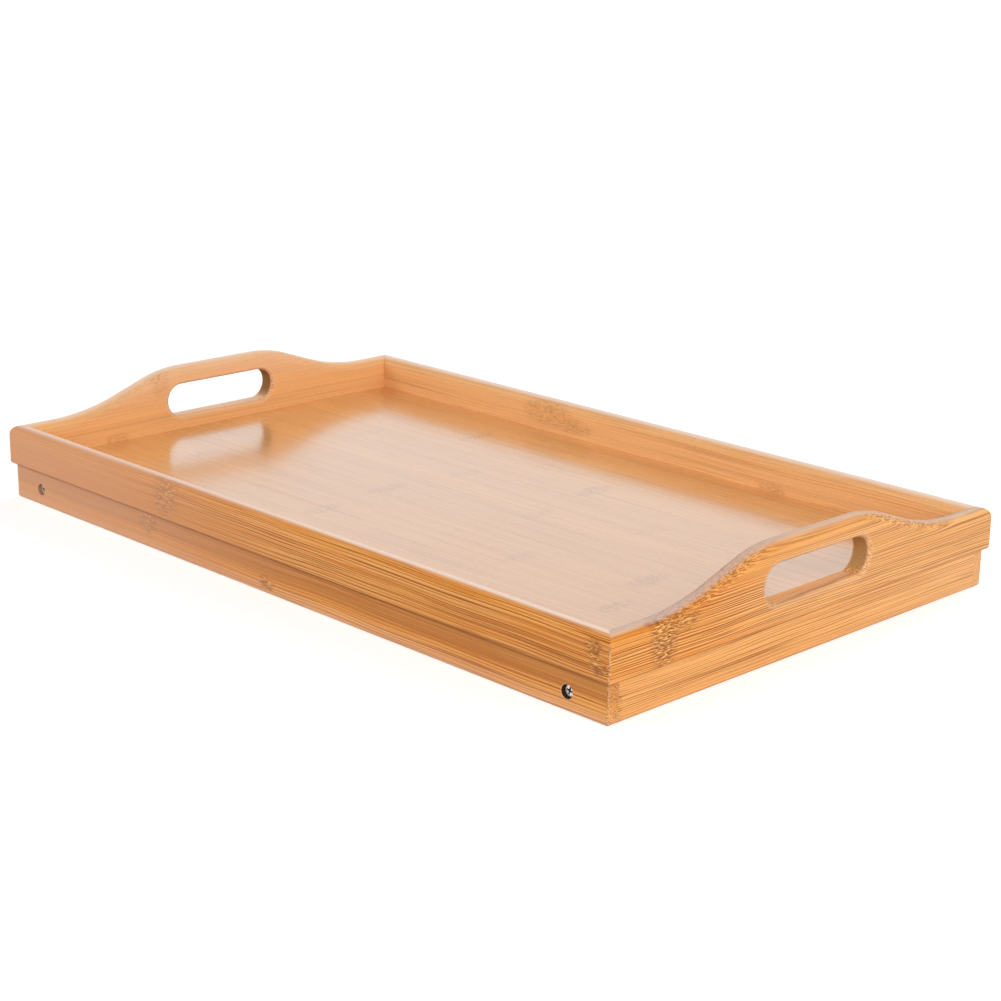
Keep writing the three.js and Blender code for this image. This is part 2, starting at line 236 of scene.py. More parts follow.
class BambooLook(bpy.types.PropertyGroup):
    """Colours and gloss of the lacquered bamboo"""

    pale: colour("Pale wood between the fibres", "ECA24A")
    warm: colour("Warmer wood between the fibres", "DE8832")
    fibre: colour("Dark fibre bundles", "94480C")
    # node: dark wood at a node, also the tint of the painted shade on faces that turn downwards
    node: colour("Dark wood at a node", "7C3F16")
    pale_line: colour("Pale wood beside a fibre", "F4B56A")
    node_pale: colour("Pale wood at a node", "F8C878")
    # brown: the nodes' brown, and the front apron's darker upper band, partly a darker strip of wood and
    # partly painted shadow under the boards' overhang
    brown: colour("The darker of the apron's strips", "A8642E")
    # A painted haze of light that pales and pinks the far end of a board
    raw: colour("Cut wood at the rim of a hole", "EFC79B")
    painted_haze: colour("Pinker wood towards the far end of the front rail", "DFA987")
    # top: painted highlight on the boards' rounded tops, and the tint of a band that pales towards a
    # height
    top: colour("Pale lacquer on the boards' tops", "F6D6BE")
    # A duller painted highlight on the right board's top
    right_top_highlight: colour("Lacquer on the right board's top", "CEBCB4")
    # cut: painted shade on the walls of a grip hole, darkest at its rounded ends
    cut: colour("Fibres cut across inside a grip hole", "6B4C22")
    # Painted shade on the wall of a screw's sink
    sink_shade: colour("Wood darkened by the drill", "1C0D05")
    # A paler copy of the wood: partly the boards' own paler tone, partly painted light on boards that
    # face more light; also paler end grain
    pale_wood_and_light: colour("Paler wood of the boards turned to the light", "F8C48C")
    # The panel's paler copy, partly its own paler tone and partly painted light
    panel_pale: colour("Paler wood of the panel", "DDB48A")
    worn: colour("Sanded edges", "F4CBA4")
    board_roughness: share("Roughness of the boards' lacquer", 0.42)
    panel_roughness: share("Roughness of the panel's lacquer", 0.2)
    leg_roughness: share("Roughness of the legs' lacquer", 0.38)


class StudioSetup(bpy.types.PropertyGroup):
    """Camera, lamps and floor"""

    eye: location("Place of the camera", (0.8660, -0.8275, 0.3834))
    aim: location("Point that the camera looks at", (0.0032, 0.0191, 0.02))
    roll: angle("Turn about the line of sight", 0.83)
    lens: FloatProperty(description="Focal length in millimetres", default=77.68, min=1)
    right_power: wattage("Power of the lamp at the right", 16)
    near_power: wattage("Power of the lamp beside the camera", 23)
    left_power: wattage("Power of the lamp at the left", 19)
    back_power: wattage("Power of the lamp behind the tray", 24)
    sky: share("Light from all round", 0.05)
    floor: colour("Colour of the floor", "E6E6E6")
    floor_glow: share("What lifts the floor to white in the picture", 0.5)


class BedTraySettings(bpy.types.PropertyGroup):
    """All sizes and colours of the bed tray"""

    board: PointerProperty(type=BoardSizes)
    apron: PointerProperty(type=ApronSizes)
    leg: PointerProperty(type=LegSizes)
    screw: PointerProperty(type=ScrewSizes)
    bamboo: PointerProperty(type=BambooLook)
    studio: PointerProperty(type=StudioSetup)
    with_threads: BoolProperty(description="Cut threads on the screws", default=True)


# Shader values as Python expressions


def arithmetic(operation, swapped=False):
    """A method of Wire that works on two values by adding a maths node."""

    def method(self, other):
        ends = (other, self) if swapped else (self, other)
        vector = any(
            isinstance(end, tuple) or isinstance(end, Wire) and end.socket.type in ("VECTOR", "RGBA")
            for end in ends
        )
        kind = "ShaderNodeVectorMath" if vector else "ShaderNodeMath"
        values = [(end,) * 3 if vector and isinstance(end, (int, float)) else end for end in ends]
        return self.shader.add(kind, {"operation": operation}, dict(enumerate(values)))

    return method


def single(operation):
    """A method of Wire that works on one value by adding a maths node."""

    def method(self):
        return self.shader.add("ShaderNodeMath", {"operation": operation}, {0: self})

    return method


class Wire:
    """An output of a shader node, on which Python's arithmetic adds further nodes."""

    def __init__(self, shader, node, output=0):
        self.shader = shader
        self.node = node
        self.socket = node.outputs[output]

    __add__ = arithmetic("ADD")
    __radd__ = arithmetic("ADD", swapped=True)
    __sub__ = arithmetic("SUBTRACT")
    __rsub__ = arithmetic("SUBTRACT", swapped=True)
    __mul__ = arithmetic("MULTIPLY")
    __rmul__ = arithmetic("MULTIPLY", swapped=True)
    __truediv__ = arithmetic("DIVIDE")
    __abs__ = single("ABSOLUTE")
    most = arithmetic("MAXIMUM")
    floor = single("FLOOR")
    sine = single("SINE")

    def out(self, output):
        return Wire(self.shader, self.node, output)

    def size(self):
        return self.shader.add("ShaderNodeVectorMath", {"operation": "LENGTH"}, {0: self}, "Value")

    def ramp(self, start, end):
        """Runs smoothly from 0 at start to 1 at end."""
        if start > end:
            return 1 - self.ramp(end, start)
        return self.shader.add(
            "ShaderNodeMapRange",
            {"interpolation_type": "SMOOTHSTEP"},
            {"Value": self, "From Min": start, "From Max": end},
        )


class Shader:
    """The nodes of a material or of the world, added one by one."""

    def __init__(self, owner):
        owner.use_nodes = True
        self.owner = owner
        self.tree = owner.node_tree
        self.tree.nodes.clear()

    def add(self, kind, settings=None, inputs=None, output=0):
        node = self.tree.nodes.new(kind)
        for name, value in (settings or {}).items():
            setattr(node, name, value)
        for name, value in (inputs or {}).items():
            if isinstance(value, Wire):
                self.tree.links.new(value.socket, node.inputs[name])
            else:
                node.inputs[name].default_value = value
        return Wire(self, node, output)

    def place(self):
        """The place on a piece in millimetres, and the way that its surface faces."""
        source = self.add("ShaderNodeTexCoord")
        return source.out("Object") * (1 / MM), source.out("Normal")

    def seen(self):
        """1 for what the camera sees straight, in a mirror or through glass, and 0 for light."""
        path = self.add("ShaderNodeLightPath")
        seen = path.out("Is Camera Ray").most(path.out("Is Glossy Ray"))
        return seen.most(path.out("Is Transmission Ray"))

    def split(self, vector):
        parts = self.add("ShaderNodeSeparateXYZ", inputs={"Vector": vector})
        return [parts.out(axis) for axis in "XYZ"]

    def join(self, x, y, z):
        return self.add("ShaderNodeCombineXYZ", inputs={"X": x, "Y": y, "Z": z})

    def noise(self, place, detail=1.0, roughness=0.5):
        inputs = {"Vector": place, "Scale": 1.0, "Detail": detail, "Roughness": roughness}
        return self.add("ShaderNodeTexNoise", inputs=inputs)

    def cells(self, place):
        """Distance to the nearest of many scattered points, and a random value for that point."""
        cell = self.add("ShaderNodeTexVoronoi", inputs={"Vector": place, "Scale": 1.0}, output="Distance")
        return cell, self.split(cell.out("Color"))[0]

    def mix(self, factor, first, second):
        """Mixes two colours, given as links or as three values."""
        first, second = [c if isinstance(c, Wire) else (*c, 1) for c in (first, second)]
        return self.add("ShaderNodeMix", {"data_type": "RGBA"}, {0: factor, 6: first, 7: second}, 2)

    def over(self, base, *layers):
        """Lays colours over a base one after another, each given as its share and itself."""
        for amount, tint in layers:
            base = self.mix(amount, base, tint)
        return base

    def bump(self, height, distance, strength):
        inputs = {"Height": height, "Distance": distance, "Strength": strength}
        return self.add("ShaderNodeBump", inputs=inputs, output="Normal")

    def finish(self, shader, kind="Material"):
        """Links a shader to the output of the material or of the world."""
        output = self.tree.nodes.new(f"ShaderNodeOutput{kind}")
        self.tree.links.new(shader.socket, output.inputs["Surface"])
        return self.owner

    def surface(self, inputs):
        """A finished material of one Principled shader."""
        return self.finish(self.add("ShaderNodeBsdfPrincipled", inputs=inputs))


def new_shader(name):
    return Shader(bpy.data.materials.new(name))


# Bamboo

# How a board lies: which axes run along its fibres, up its face and through its thickness
LIES_ALONG_X = "XZY"
LIES_ALONG_Y = "YZX"
PANEL_LIES = "XYZ"
BAR_LIES = "YXZ"

# Node marks, in millimetres: place along and up the face, reach along and up it, and strength
FRONT_RAIL_MARKS = (
    (-90, 36, 11, 12, 0.7),
    (240, 37, 6, 5, 0.9),
    (243, 29, 5, 4, 0.8),
)
FRONT_APRON_MARKS = (
    (-110, 16, 8, 7, 0.75),
    (-3, 6, 6, 4, 0.8),
)
RIGHT_BOARD_MARKS = (
    (-115, 36, 9, 15, 1.0),
    (-101, 41, 10, 5, 0.7),
)
RIGHT_APRON_MARKS = ((-144, 8, 4, 8, 0.4),)
LEFT_BOARD_MARKS = (
    (-48, 57, 6, 9, 0.22),
    (-82, 26, 8, 4, 0.3),
)
BACK_RAIL_MARKS = (
    (-78, 36, 20, 8, 0.35),
    (-56, 32, 16, 5, 0.35),
    (107, 25, 10, 4, 0.35),
)
PANEL_MARKS = (
    (-97, 95, 5, 13, 0.50),
    (-48, -24, 5, 14, 0.45),
    (-41, 33, 5, 13, 0.34),
    (47, 6, 5, 12, 0.34),
    (36, 63, 6, 14, 0.56),
    (-41, -79, 5, 12, 0.50),
    (95, -57, 5, 13, 0.34),
    (167, -35, 6, 14, 0.56),
    (183, -76, 5, 11, 0.50),
    (150, 95, 5, 12, 0.28),
    (-150, 50, 5, 12, 0.28),
    (-180, -60, 5, 13, 0.28),
    (110, 30, 5, 11, 0.22),
    (-120, -110, 5, 12, 0.34),
    (210, 120, 5, 12, 0.34),
)


# In millimetres: the thickness of a layer of strips, and how far a glue line darkens the wood beside it
LAYER = 5
GLUE_LINE = 0.22

# In millimetres: how far the rims of nodes, the fibres in nodes and all other fibres stray
RAGGED = 7
SWIRL = 3
WANDER = 4

# How close the thin lines of the grain lie, for each millimetre across them
FINE_LINES = 1.8

# How deep the relief of wood and of plated steel is
WOOD_RELIEF = 0.05 * MM
PLATE_RELIEF = 0.02 * MM

BRIGHT_ZINC = (0.98, 0.98, 0.95)
WORN_ZINC = (0.84, 0.87, 0.86)


def scattered_marks(seed, reach, heights, count):
    """Node marks strewn over a board by chance."""
    dice = random.Random(seed)
    spans = ((-reach, reach), heights, (4, 7), (4, 9), (0.3, 0.8))
    return [[dice.uniform(*span) for span in spans] for _ in range(count)]


def node_marks(s, here, marks):
    """How near a place is to the middle of a ragged node, and how strongly the node shows there."""
    ragged = (s.noise(here * (0.08, 0.5, 0.3), 2, 0.6) - 0.5) * RAGGED
    ragged_here = here + s.join(ragged, 0, 0)
    at_node = 0
    shown = 0
    for along, up, reach_along, reach_up, strength in marks:
        offset = (ragged_here - (along, up, 0)) * (1 / reach_along, 1 / reach_up, 0)
        mark = offset.size().ramp(1.5, 0.2)
        at_node = mark.most(at_node)
        shown = (mark.ramp(0, 0.5) * strength).most(shown)
    return at_node, shown


def comb_lines(s, lifted, across, spacing):
    """Close-set fibres that stand more or less evenly and fade in and out along the board."""
    comb = 0
    for gap, spread, seed in ((spacing, 0.45, 3), (spacing * 1.5, 0.3, 17)):
        unevenness = s.noise(lifted * (0.006, spread, spread) + (seed, seed, seed)) * 1.1
        fading = s.noise(lifted * (0.014, 0.4, 0.4) + (0, seed, 0)).ramp(0.36, 0.58)
        comb = comb + ((across / gap + unevenness) * math.tau).sine() * fading
    return comb


def grip_parts(s, grip, along, up, deep):
    """How near a grip hole is, what lies between its two rims, its wall, and its rounded ends."""
    half, middle, radius, wall_start, wall_end = grip
    past_straight = (abs(along) - half).most(0)
    from_slot = s.join(past_straight, up - middle, 0).size()
    inwards = abs(deep)
    between = inwards.ramp(wall_start, wall_start + 1.5) * inwards.ramp(wall_end, wall_end - 1.5)
    near = from_slot.ramp(radius + 3, radius + 2)
    wall = from_slot.ramp(radius + 1.2, radius + 0.2) * between
    return near, between, wall, past_straight.ramp(radius * 0.3, radius * 0.7)


def bamboo(
    look, name, lies, marks, roughness, *,
    strip_start=-30, strip_height=60, cell=0.95, combed=0.5, comb_spacing=1.35, contrast=0.6,
    warmth=0.5, pale_tone_and_light=0, pale_tone_and_light_tint=None, dark_above=None, pale_above=None, painted_haze=None,
    top_highlight=0, top_highlight_tint=None, highlight_leans_inwards=False, underside_shade=0.3, end_dark=0.4, end_pale=0,
    coat=0.1, top_coat=0.1, coat_ior=1.5, raw_rims_and_shaded_sinks=(), grip=None,
):
    """Laminated bamboo under lacquer, its strips, cells, combs and heights given in millimetres."""
    s = new_shader(name)
    place, normal = s.place()
    position = dict(zip("XYZ", s.split(place)))
    facing = dict(zip("XYZ", s.split(normal)))
    along, up, deep = (position[axis] for axis in lies)
    here = s.join(along, up, deep)
    across_fibres = abs(facing[lies[0]])
    upwards = facing["Z"]

    # At a node the fibres swirl, and everywhere they wander a little.
    at_node, shown = node_marks(s, here, marks)
    swirl = (s.noise(here * (0.11, 0.22, 0.22)) - 0.5) * SWIRL * at_node
    wander = (s.noise(here * (0.009, 0.02, 0.02)) - 0.5) * WANDER
    lifted = here + s.join(0, swirl + wander, 0)
    _, lifted_up, lifted_deep = s.split(lifted)

    # Fibre bundles run lengthwise: thin dark lines on a face and dots where they are cut across.
    bundle, bundle_depth = s.cells(lifted * (0.011, 1 / cell, 1 / cell))
    lines = bundle.ramp(0.38, 0.22) * (0.1 + 0.9 * bundle_depth)
    fine = s.noise(lifted * (0.008, FINE_LINES, FINE_LINES), 1.5)
    broad = s.noise(lifted * (0.005, 0.2, 0.2), 2)
    flecks = s.noise(lifted * (0.35, 2.4, 2.4), 1.5, 0.6)
    ticks = s.noise(lifted * (0.3, 1.5, 1.5), 1, 0.6)
    crowd = s.noise(lifted * (0.007, 0.13, 0.13)).ramp(0.3, 0.65)

    # Strips are glued side by side, each with a tone of its own.
    strip = (lifted_up - strip_start) / strip_height
    which = s.join(strip.floor(), (lifted_deep / LAYER).floor(), 0)
    tone = s.add("ShaderNodeTexWhiteNoise", {"noise_dimensions": "2D"}, {"Vector": which})
    glue = abs(strip - strip.floor() - 0.5).ramp(0.5 - GLUE_LINE / strip_height, 0.5)

    # Towards a board's far end a painted haze of light pales the wood, and its grain is calmer there too,
    # or bolder if calm is below 0.
    if painted_haze:
        start, end, haze_share, haze_tint, calm = painted_haze
        hazy = along.ramp(start, end)
        contrast = contrast * (1 - calm * hazy)

    # The wood runs from pale to warm, and the fibres in it from dark to pale.
    grain = contrast * (0.45 + 0.75 * crowd)
    warm_share = (broad + (fine - 0.5) * 0.6 + warmth - 0.5).ramp(0.25, 0.75)
    wood = s.mix(warm_share, look.pale, look.warm)
    # A paler copy of the wood, partly the board's own tone and partly painted light where it faces more
    # light
    if pale_tone_and_light:
        wood = s.mix(pale_tone_and_light, wood, pale_tone_and_light_tint or look.pale_wood_and_light)
    # Above a height the wood darkens: partly a darker strip, partly painted shadow under the overhang.
    if dark_above:
        darker = lifted_up.ramp(dark_above - 2.5, dark_above + 2.5)
        wood = s.mix(darker * 0.62, wood, look.brown)
        grain = grain * (1 - 0.5 * darker)
    fine_share = (0.8 - 0.4 * combed) * grain
    wood = s.over(
        wood,
        (lines * 0.45 * grain, look.fibre),
        (fine.ramp(0.53, 0.58) * fine_share, look.fibre),
        (fine.ramp(0.47, 0.42) * fine_share, look.pale_line),
    )

    # On a slope the fibres are cut short, so their lines break into ticks.
    cut_short = across_fibres.ramp(0.03, 0.17)
    if combed:
        comb = comb_lines(s, lifted, lifted_up + 0.6 * lifted_deep, comb_spacing) * (1 - 0.8 * cut_short)
        comb_share = combed * grain
        wood = s.over(
            wood,
            (comb.ramp(0.15, 0.95) * comb_share, look.fibre),
            (comb.ramp(-0.15, -0.95) * comb_share, look.pale_line),
        )
    wood = wood * (0.84 + 0.09 * tone + 0.23 * flecks)
    wood = s.mix(glue * 0.3, wood, look.node)
    if pale_above:
        start, end, most_pale = pale_above
        wood = s.mix(up.ramp(start, end) * most_pale, wood, look.top)

    # Node ticks thin out towards the rim of a node.
    sparse = (1 - at_node) * 0.12
    wood = s.over(
        wood,
        (shown * 0.35, look.brown),
        (shown * (ticks - sparse).ramp(0.48, 0.56) * 0.7, look.node),
        (shown * (ticks + sparse).ramp(0.45, 0.38) * 0.85, look.node_pale),
    )

    # Across the fibres the cut wood is darker and open.
    end_grain = across_fibres.ramp(0.5, 0.95)
    wood = s.over(
        wood,
        (end_grain * (1 + lines) * end_dark, look.node),
        (end_grain * (end_pale + 0.25 * fine.ramp(0.5, 0.4)), look.pale_wood_and_light),
        (cut_short * ticks.ramp(0.5, 0.56) * contrast * 0.6, look.fibre),
        (cut_short * ticks.ramp(0.45, 0.39) * contrast * 0.5, look.pale_line),
    )

    # The walls of a grip hole are dull and carry painted shade, darkest at the hole's rounded ends.
    dull = upwards.ramp(-0.15, -0.85)
    top = upwards.ramp(0.72, 1)
    # Where a top gets its painted highlight, leaning inwards when asked
    highlighted_top = (upwards * 0.94 + facing[lies[2]] * 0.34).ramp(0.68, 0.92) if highlight_leans_inwards else top
    if grip:
        near, between, wall, end_wall = grip_parts(s, grip, along, up, deep)
        worn_rim = (near * (1 - between) * 0.35, look.worn)
        wood = s.over(wood, worn_rim, (wall * (0.05 + 0.7 * end_wall), look.cut))
        top = top.most(near * upwards.ramp(0.4, 0.8))
        dull = dull.most(near * (1 - top))
        highlighted_top = highlighted_top * (1 - near)

    # Edges are sanded paler where they cut across the fibres, and tops get a painted highlight.
    sanded = (across_fibres * abs(facing[lies[2]])).ramp(0.1, 0.42)
    wood = s.over(
        wood, (sanded * 0.3, look.worn), (sanded * ticks.ramp(0.5, 0.58) * 0.55, look.fibre)
    )
    if top_highlight:
        wood = s.mix(highlighted_top * top_highlight, wood, top_highlight_tint or look.top)
    # Faces that turn downwards get painted shade in the node's dark colour.
    wood = s.mix(upwards.ramp(-0.35, -0.85) * underside_shade, wood, look.node)

    # A screw's sink has painted shade on its wall and is raw at its rim.
    for rim_along, rim_up, rim_radius in raw_rims_and_shaded_sinks:
        from_hole = ((here - (rim_along, rim_up, 0)) * (1, 1, 0)).size()
        raw_rim = from_hole.ramp(rim_radius + 0.8, rim_radius + 0.25)
        shaded_inside = from_hole.ramp(rim_radius + 0.2, rim_radius + 0.06)
        wood = s.over(wood, (raw_rim * 0.35, look.raw), (shaded_inside * 0.96, look.sink_shade))
        dull = dull.most(shaded_inside)
    # The painted haze of light towards the far end
    if painted_haze:
        wood = s.mix(hazy * haze_share, wood, haze_tint)

    relief = 0.4 * fine - 0.8 * lines - glue + at_node * ticks * 0.8
    gloss = roughness + 0.08 * lines + 0.15 * end_grain + 0.06 * fine
    return s.surface({
        "Base Color": wood,
        "Roughness": gloss.most(dull * 0.9),
        "IOR": 1.5,
        "Specular IOR Level": 0.5 if coat > 0.5 else 0.25,
        "Coat Weight": (coat + (top_coat - coat) * top) * (1 - dull),
        "Coat Roughness": roughness * 0.8,
        "Coat IOR": coat_ior,
        "Normal": s.bump(relief, WOOD_RELIEF, 0.6),
    })


def zinc(name, bright, dull, roughness, metallic=1.0):
    """Zinc plate with fine wear."""
    s = new_shader(name)
    place, _ = s.place()
    spots = s.noise(place * 1.4, 3, 0.6)
    return s.surface({
        "Base Color": s.mix(spots.ramp(0.45, 0.75), bright, dull),
        "Roughness": roughness + 0.2 * spots,
        "Metallic": metallic,
        "Normal": s.bump(s.noise(place * (3, 0.4, 3), 2), PLATE_RELIEF, 0.3),
    })


def nylon(name):
    """Milky washer plastic with faint moulding marks."""
    s = new_shader(name)
    place, _ = s.place()
    grain = s.noise(place * 3, 2)
    return s.surface({
        "Base Color": s.mix(s.noise(place * 0.5, 2), linear("EFECE4"), linear("DAD5C8")),
        "Roughness": 0.4 + 0.15 * grain,
        "Subsurface Weight": 0.1,
        "Subsurface Radius": (MM, MM, MM),
        "Normal": s.bump(grain, PLATE_RELIEF, 0.3),
    })


# Meshes


def even(start, end, steps):
    """Values from start to end in even steps."""
    return [start + (end - start) * i / steps for i in range(steps + 1)]


def ring_of(bm, points):
    """Vertices at the given points."""
    return [bm.verts.new(point) for point in points]


def flat_ring(bm, outline, depth):
    """Vertices of an outline in x and z, all at one depth in y."""
    return ring_of(bm, [(p.x, depth, p.y) for p in outline])


def skin(bm, rings, skipped=()):
    """Joins each ring of vertices to the next with four-sided faces."""
    for near, far in zip(rings, rings[1:]):
        for i in range(len(near)):
            if i not in skipped:
                j = (i + 1) % len(near)
                bm.faces.new((near[i], near[j], far[j], far[i]))


def distinct(loop):
    """A loop of vertices without those that lie on the one before."""
    return [v for i, v in enumerate(loop) if (v.co - loop[i - 1].co).length > WELD]


def cover(bm, outline, *holes):
    """Fills a flat outline, less its holes, with triangles."""
    loops = [distinct(loop) for loop in (outline, *holes)]
    corners = [vertex for loop in loops for vertex in loop]
    for triangle in tessellate_polygon([[v.co for v in loop] for loop in loops]):
        bm.faces.new([corners[i] for i in triangle])


def arris_profile(thickness, arris, steps):
    """Depth and inset of each line across a board whose two faces have rounded edges."""
    turns = even(0, QUARTER, steps)
    front = [(arris - arris * math.cos(t), arris - arris * math.sin(t)) for t in turns]
    return front + [(thickness - depth, inset) for depth, inset in reversed(front)]


def inset_at(distance, arris):
    """How far a rounded edge draws in at a distance from the end."""
    return arris - math.sqrt(arris**2 - max(0, arris - distance) ** 2)


def rectangle(width, height, corner):
    """Corners (x, z, radius) of a rectangle about the origin."""
    return [(x * width / 2, z * height / 2, corner) for x, z in ((-1, -1), (1, -1), (1, 1), (-1, 1))]


def rounded_loop(corners, inset):
    """Points of a closed outline of corners (x, z, radius), drawn in by the inset."""
    points = []
    for i, (x, z, radius) in enumerate(corners):
        corner = Vector((x, z))
        back = (Vector(corners[i - 1][:2]) - corner).normalized()
        ahead = (Vector(corners[(i + 1) % len(corners)][:2]) - corner).normalized()
        half_angle = back.angle(ahead) / 2
        inward = (back + ahead).normalized()
        centre = corner + inward * (max(radius, inset) / math.sin(half_angle))
        reach = max(radius - inset, 0)
        sweep = QUARTER - half_angle
        middle = math.atan2(-inward.y, -inward.x)
        for turn in even(middle - sweep, middle + sweep, CORNER_STEPS):
            points.append(centre + Vector((math.cos(turn), math.sin(turn))) * reach)
    return points


def circle(x, z, radius, sides):
    """Points round a circle."""
    turns = even(0, math.tau, sides)[:-1]
    return [Vector((x + radius * math.cos(t), z + radius * math.sin(t))) for t in turns]


def bored(bm, thickness, holes):
    """The walls of holes (x, z, profile); returns their rims on the front face and on the back one."""
    front_rims = []
    back_rims = []
    for x, z, profile in holes:
        hole = [flat_ring(bm, circle(x, z, radius, HOLE_SIDES), depth) for radius, depth in profile]
        skin(bm, hole)
        for ring, depth in ((hole[0], profile[0][1]), (hole[-1], profile[-1][1])):
            if depth == 0:
                front_rims.append(ring)
            elif depth == thickness:
                back_rims.append(ring)
            else:
                bm.faces.new(ring)
    return front_rims, back_rims


def plate(corners, thickness, arris, holes=()):
    """A board in x and z with its outer face on y = 0, rounded edges and holes (x, z, profile)."""
    bm = bmesh.new()
    profile = arris_profile(thickness, arris, EDGE_STEPS)
    rings = [flat_ring(bm, rounded_loop(corners, inset), depth) for depth, inset in profile]
    skin(bm, rings)
    front_rims, back_rims = bored(bm, thickness, holes)
    cover(bm, rings[0], *front_rims)
    cover(bm, rings[-1], *back_rims)
    return bm


def turned(profile, thread=None):
    """A round body about the y axis from (radius, y) points, its ends closed unless they meet.

    The thread is a function that gives its depth at a turn and a place along the axis.
    """
    bm = bmesh.new()
    rings = []
    for radius, y in profile:
        ring = []
        for turn in even(0, math.tau, ROUND_SIDES)[:-1]:
            r = radius - thread(turn, y) if thread else radius
            ring.append((r * math.cos(turn), y, r * math.sin(turn)))
        rings.append(ring_of(bm, ring))
    skin(bm, rings)
    if profile[0] != profile[-1]:
        for ring in (rings[0], rings[-1]):
            bm.faces.new(ring)
    return bm


def shade(mesh):
    """Smooth shading with sharp edges."""
    mesh.shade_smooth()
    mesh.set_sharp_from_angle(angle=SHARP_EDGE)


def to_mesh(bm, name, material):
    """Welds the faces into a mesh of one material."""
    bmesh.ops.remove_doubles(bm, verts=bm.verts, dist=WELD)
    bmesh.ops.recalc_face_normals(bm, faces=bm.faces)
    mesh = bpy.data.meshes.new(name)
    bm.to_mesh(mesh)
    bm.free()
    shade(mesh)
    mesh.materials.append(material)
    return mesh


def put(name, mesh, body, node, place):
    """Places a piece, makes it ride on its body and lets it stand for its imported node."""
    piece = bpy.data.objects.new(name, mesh)
    piece.matrix_world = place
    bpy.context.scene.collection.objects.link(piece)
    piece.modifiers.new("Even shading", "WEIGHTED_NORMAL").keep_sharp = True
    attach(piece, body)
    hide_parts(node)


def put_wood(bm, wood, body, node):
    """Places a wooden piece that was shaped where it stands."""
    name = f"{node}_wood"
    put(name, to_mesh(bm, name, wood), body, node, Matrix.Identity(4))


def four_boards(long_kind, short_kind):
    """Each board round the tray: its side, node, half length, if it is long, and its place."""
    for turn, side in enumerate(SIDES):
        long = side in ("front", "back")
        node = f"{side}_{long_kind if long else short_kind}"
        along, outwards = (0, 1) if long else (1, 0)
        distance = max(abs(low(node)[outwards]), abs(high(node)[outwards]))
        place = Matrix.Rotation(turn * QUARTER, 4, "Z") @ Matrix.Translation((0, -distance, low(node).z))
        yield side, node, high(node)[along], long, place


def leg_pieces(kind):
    """The four pieces of a kind on the leg frames: node, body, side in x and way out in y."""
    for name, side in (("left", -1), ("right", 1)):
        for end, facing in (("front", 1), ("back", -1)):
            yield f"{end}_{name}_{kind}", f"{name}_leg_frame", side, facing


# Upper frame

# Faces round each end of a grip hole and round each corner of the tray
GRIP_STEPS = 24
MITRE_STEPS = 5

# In millimetres: how far inside the board's faces the wall of a grip hole starts
WALL_MARGIN = 1

PANEL_CORNER = 0.4 * MM
PANEL_ARRIS = 0.3 * MM


def handle_stations(sizes, height):
    """Stations (along, height, tilt) of a board's top from one slope's foot to the other's."""
    rise = height - RAIL_HEIGHT
    if rise < WELD:
        return [(0, height, 0)]
    turns = even(0, sizes.slope, sizes.curve_steps)

    def arc(radius, along, level, side):
        """Stations of an arc from its level end: outwards and down for side 1, inwards and up for -1."""
        return [
            (along + side * radius * math.sin(t), level - side * radius * (1 - math.cos(t)), t)
            for t in turns
        ]

    both = sizes.crest_radius + sizes.foot_radius
    ramp_rise = rise - both * (1 - math.cos(sizes.slope))
    crest_end = sizes.crest_flat / 2
    slope_end = crest_end + both * math.sin(sizes.slope) + ramp_rise / math.tan(sizes.slope)
    foot = arc(sizes.foot_radius, slope_end, RAIL_HEIGHT, -1)
    right = arc(sizes.crest_radius, crest_end, height, 1) + foot[::-1]
    left = [(-along, z, -tilt) for along, z, tilt in reversed(right)]
    return left + right


def board_section(sizes, along, top, tilt):
    """Points (along, depth, height) round a board at one station, and the indices of its two faces."""
    arris = sizes.arris
    turns = even(0, QUARTER, sizes.arris_steps)
    bottom = [(along, arris * (1 - math.sin(t)), arris * (1 - math.cos(t))) for t in turns]
    upper = [
        (along - inset * math.sin(tilt), depth, top - inset * math.cos(tilt))
        for depth, inset in arris_profile(BOARD_THICKNESS, sizes.crown, sizes.crown_steps)
    ]
    shelf = BOARD_THICKNESS - REBATE_DEPTH
    rebate = [(BOARD_THICKNESS, REBATE_HEIGHT), (shelf, REBATE_HEIGHT), (shelf, 0)]
    faces = (len(bottom) - 1, len(bottom) + len(upper) - 1)
    return bottom + upper + [(along, *corner) for corner in rebate], faces


def mitred(sizes, half, points, turn, side):
    """Moves a section onto the tray's corner: rounded outside, on the mitre plane inside."""
    moved = []
    for _, depth, height in points:
        centre = max(sizes.corner, depth)
        reach = centre - depth
        along = half - centre + reach * math.sin(turn)
        moved.append((side * along, centre - reach * math.cos(turn), height))
    return moved


def frame_board(sizes, half, height):
    """A rebated board with rounded edges and mitred ends, with a grip hole where it stands tall."""
    bm = bmesh.new()
    level, faces = board_section(sizes, 0, RAIL_HEIGHT, 0)
    left, right = (
        [mitred(sizes, half, level, turn, side) for turn in even(0, QUARTER / 2, MITRE_STEPS)]
        for side in (-1, 1)
    )
    middle = [board_section(sizes, *station)[0] for station in handle_stations(sizes, height)]
    rings = [ring_of(bm, section) for section in left[::-1] + middle + right]
    straight = rings[MITRE_STEPS:-MITRE_STEPS]
    skin(bm, rings[: MITRE_STEPS + 1])
    skin(bm, straight, skipped=faces)
    skin(bm, rings[-MITRE_STEPS - 1 :])
    holes = grip_hole(bm, sizes, height) if height > RAIL_HEIGHT + WELD else ((), ())
    for face, hole in zip(faces, holes):
        edge = [ring[face] for ring in straight]
        far_edge = [ring[face + 1] for ring in straight]
        cover(bm, edge + far_edge[::-1], *([hole] if hole else []))
    for ring in (rings[0], rings[-1]):
        bm.faces.new(distinct(ring))
    return bm


